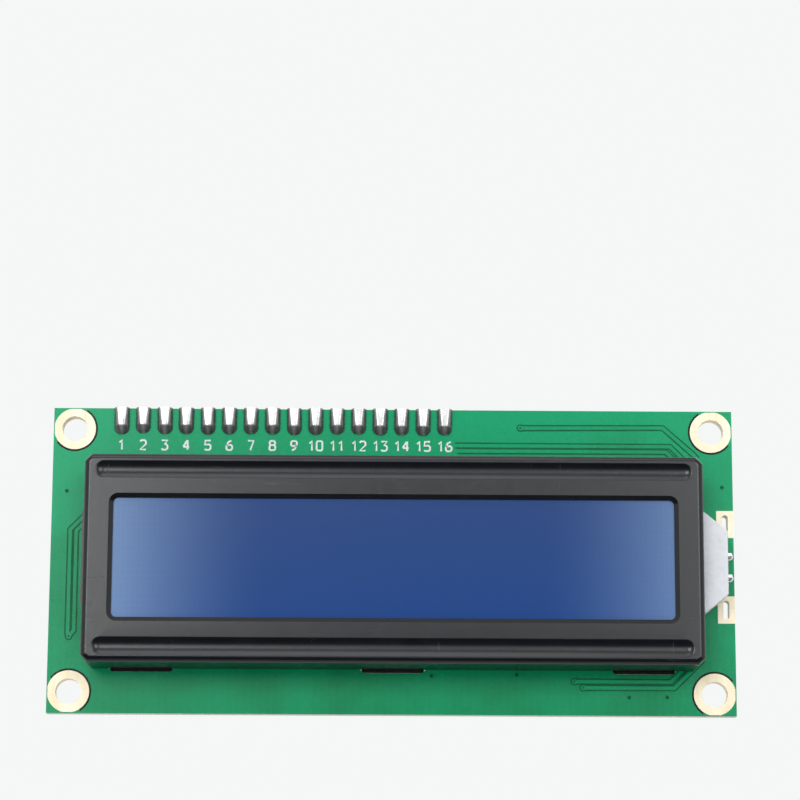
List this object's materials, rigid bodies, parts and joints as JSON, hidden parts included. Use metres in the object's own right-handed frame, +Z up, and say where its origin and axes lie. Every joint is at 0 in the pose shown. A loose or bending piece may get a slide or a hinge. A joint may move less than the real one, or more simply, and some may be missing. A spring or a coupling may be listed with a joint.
{
  "type": "character lcd module",
  "caption": "Two-line character display in a black pressed bezel on a green board, with a soldered serial adapter, contrast trimmer and jumper cap behind.",
  "frame": {"origin": "centre of the four corner holes, on the display board's front face", "axes": "+Z up as one reads the display, +X to the right as one reads it, the display faces -Y"},
  "size_m": [0.0804, 0.018, 0.036],
  "materials": {
    "board_green": "green solder mask over fibreglass, gloss",
    "adapter_black": "black solder mask over fibreglass, gloss",
    "solder": "bright solder",
    "gold": "thin gold plating",
    "bezel_black": "satin black paint",
    "glass": "clear glass",
    "display_blue": "blue polarizing film, gloss",
    "strip_rubber": "pink silicone rubber",
    "film_white": "white film",
    "guide_white": "milky acrylic",
    "resin_black": "black epoxy resin",
    "plastic_black": "moulded black plastic",
    "chip_grey": "dark grey moulding compound",
    "trimmer_blue": "moulded blue plastic",
    "rotor_white": "moulded white plastic",
    "ceramic_tan": "tan ceramic",
    "lamp_clear": "pale clear resin"
  },
  "bodies": {
    "module": {"main_board": "board_green", "hole_lands": "gold", "front_lands": "gold", "back_lands": "solder", "solder_bridge": "solder", "bezel": "bezel_black", "front_polarizer": "display_blue", "front_glass": "glass", "rear_glass": "glass", "rear_polarizer": "display_blue", "diffuser_film": "film_white", "reflector_film": "film_white", "contact_strips": "strip_rubber", "light_guide": "guide_white", "backlight_lamp": "film_white", "lamp_leads": "solder", "lamp_solder": "solder", "chip_blobs": "resin_black", "header_spacer": "plastic_black", "header_pins": "solder", "front_joints": "solder", "adapter_joints": "solder", "adapter_board": "adapter_black", "adapter_lands": "solder", "driver_chip": "chip_grey", "driver_leads": "solder", "trimmer_body": "trimmer_blue", "trimmer_pins": "solder", "bus_header": "plastic_black", "bus_pins": "gold", "lamp_header": "plastic_black", "lamp_pins": "gold", "underside_joints": "solder", "transistor_body": "chip_grey", "transistor_leads": "solder", "board_resistors": "chip_grey", "board_resistor_ends": "solder", "adapter_resistors": "chip_grey", "adapter_resistor_ends": "solder", "capacitor": "ceramic_tan", "capacitor_ends": "solder", "indicator_lamp": "lamp_clear", "indicator_ends": "solder"},
    "contrast_rotor": {"trimmer_rotor": "rotor_white"},
    "jumper_cap": {"jumper_shell": "plastic_black", "jumper_contact": "gold"}
  },
  "joints": [
    {"name": "contrast_turn", "type": "hinge", "parent": "module", "child": "contrast_rotor", "pos_m": [-0.0242, 0.01052, 0.0098], "axis": [0, 1, 0], "range_deg": [-120, 120]},
    {"name": "jumper_pull", "type": "slide", "parent": "module", "child": "jumper_cap", "axis": [1, 0, 0], "range_m": [0, 0.0072]}
  ]
}
